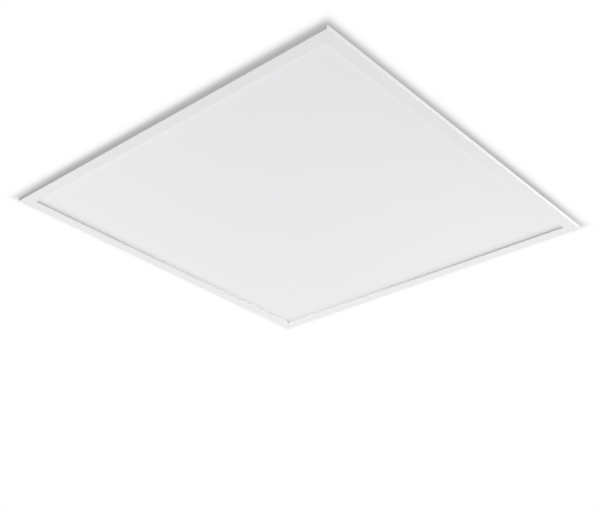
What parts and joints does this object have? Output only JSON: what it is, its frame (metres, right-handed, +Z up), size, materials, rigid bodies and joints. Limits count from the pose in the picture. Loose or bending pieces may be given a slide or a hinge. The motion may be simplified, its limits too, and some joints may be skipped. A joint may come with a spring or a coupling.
{
  "type": "led panel light",
  "caption": "Slim square edge-lit ceiling panel with a white mitred frame, opal diffuser, sprung ceiling clips and a driver on its back.",
  "frame": {"origin": "centre of the panel on the plane of the lip's lower face, the face that looks into the room", "axes": "+Z up into the ceiling void, +X and +Y along the square's sides, +Y towards the side that carries the driver"},
  "size_m": [0.595, 0.6446, 0.0359],
  "materials": {
    "frame_white": "satin",
    "key_plastic": "matte",
    "diffuser_opal": "satin",
    "guide_acrylic": "polished",
    "reflector_film": "satin",
    "foam": "matte",
    "plate_aluminium": "satin",
    "led_board": "satin",
    "lead_pvc": "satin",
    "zinc_steel": "satin",
    "spring_steel": "satin",
    "case_plastic": "matte",
    "circuit_board": "satin",
    "winding_tape": "satin",
    "can_sleeve": "satin",
    "terminal_plastic": "matte",
    "button_orange": "satin",
    "switch_black": "satin",
    "rubber_black": "matte"
  },
  "bodies": {
    "panel": {"frame_rail_front": "frame_white", "frame_rail_right": "frame_white", "frame_rail_rear": "frame_white", "frame_rail_left": "frame_white", "corner_key_front_left": "key_plastic", "corner_key_front_right": "key_plastic", "corner_key_rear_left": "key_plastic", "corner_key_rear_right": "key_plastic", "diffuser_plate": "diffuser_opal", "light_guide_plate": "guide_acrylic", "reflector_sheet": "reflector_film", "foam_pad": "foam", "driver_tape": "foam", "back_plate": "plate_aluminium", "led_bar_left": "led_board", "led_bar_right": "led_board", "led_link_wire": "lead_pvc", "supply_lead": "lead_pvc", "plate_screw_1": "zinc_steel", "plate_screw_2": "zinc_steel", "plate_screw_3": "zinc_steel", "plate_screw_4": "zinc_steel", "clip_screw_1": "zinc_steel", "clip_screw_2": "zinc_steel", "clip_screw_3": "zinc_steel", "clip_screw_4": "zinc_steel", "clip_screw_5": "zinc_steel", "clip_screw_6": "zinc_steel", "clip_screw_7": "zinc_steel", "clip_screw_8": "zinc_steel", "cord_clamp_screw_front": "zinc_steel", "cord_clamp_screw_rear": "zinc_steel", "cover_hinge_pin": "zinc_steel", "clip_bracket_front_left": "zinc_steel", "clip_bracket_front_right": "zinc_steel", "clip_bracket_rear_left": "zinc_steel", "clip_bracket_rear_right": "zinc_steel", "clip_pin_front_left": "zinc_steel", "clip_pin_front_right": "zinc_steel", "clip_pin_rear_left": "zinc_steel", "clip_pin_rear_right": "zinc_steel", "driver_base": "case_plastic", "driver_lid": "case_plastic", "cord_clamp": "case_plastic", "lead_clip": "case_plastic", "driver_board": "circuit_board", "driver_transformer": "winding_tape", "driver_capacitor": "can_sleeve", "terminal_block": "terminal_plastic", "cct_switch_body": "switch_black", "lead_grommet": "rubber_black"},
    "arm_front_left": {"clip_arm_front_left": "spring_steel"},
    "arm_front_right": {"clip_arm_front_right": "spring_steel"},
    "arm_rear_left": {"clip_arm_rear_left": "spring_steel"},
    "arm_rear_right": {"clip_arm_rear_right": "spring_steel"},
    "terminal_cover": {"terminal_cover": "case_plastic"},
    "cct_slider": {"cct_slider": "switch_black"},
    "release_button_front": {"release_button_front": "button_orange"},
    "release_button_rear": {"release_button_rear": "button_orange"}
  },
  "joints": [
    {"name": "swing_front_left", "type": "hinge", "parent": "panel", "child": "arm_front_left", "pos_m": [-0.19, -0.2815, 0.017], "axis": [-1, 0, 0], "range_deg": [0, 98], "stiffness_Nm_per_rad": 0.01, "springref_deg": -28.65},
    {"name": "swing_front_right", "type": "hinge", "parent": "panel", "child": "arm_front_right", "pos_m": [0.19, -0.2815, 0.017], "axis": [-1, 0, 0], "range_deg": [0, 98], "stiffness_Nm_per_rad": 0.01, "springref_deg": -28.65},
    {"name": "swing_rear_left", "type": "hinge", "parent": "panel", "child": "arm_rear_left", "pos_m": [-0.19, 0.2815, 0.017], "axis": [1, 0, 0], "range_deg": [0, 98], "stiffness_Nm_per_rad": 0.01, "springref_deg": -28.65},
    {"name": "swing_rear_right", "type": "hinge", "parent": "panel", "child": "arm_rear_right", "pos_m": [0.19, 0.2815, 0.017], "axis": [1, 0, 0], "range_deg": [0, 98], "stiffness_Nm_per_rad": 0.01, "springref_deg": -28.65},
    {"name": "cover_hinge", "type": "hinge", "parent": "panel", "child": "terminal_cover", "pos_m": [0.063, 0.227, 0.034], "axis": [0, 1, 0], "range_deg": [0, 110]},
    {"name": "cct_slide", "type": "slide", "parent": "panel", "child": "cct_slider", "axis": [1, 0, 0], "range_m": [-0.0025, 0.0025]},
    {"name": "press_front", "type": "slide", "parent": "panel", "child": "release_button_front", "axis": [0, 0, -1], "range_m": [0, 0.0012], "stiffness_N_per_m": 100, "springref_m": -0.0002},
    {"name": "press_rear", "type": "slide", "parent": "panel", "child": "release_button_rear", "axis": [0, 0, -1], "range_m": [0, 0.0012], "stiffness_N_per_m": 100, "springref_m": -0.0002}
  ]
}
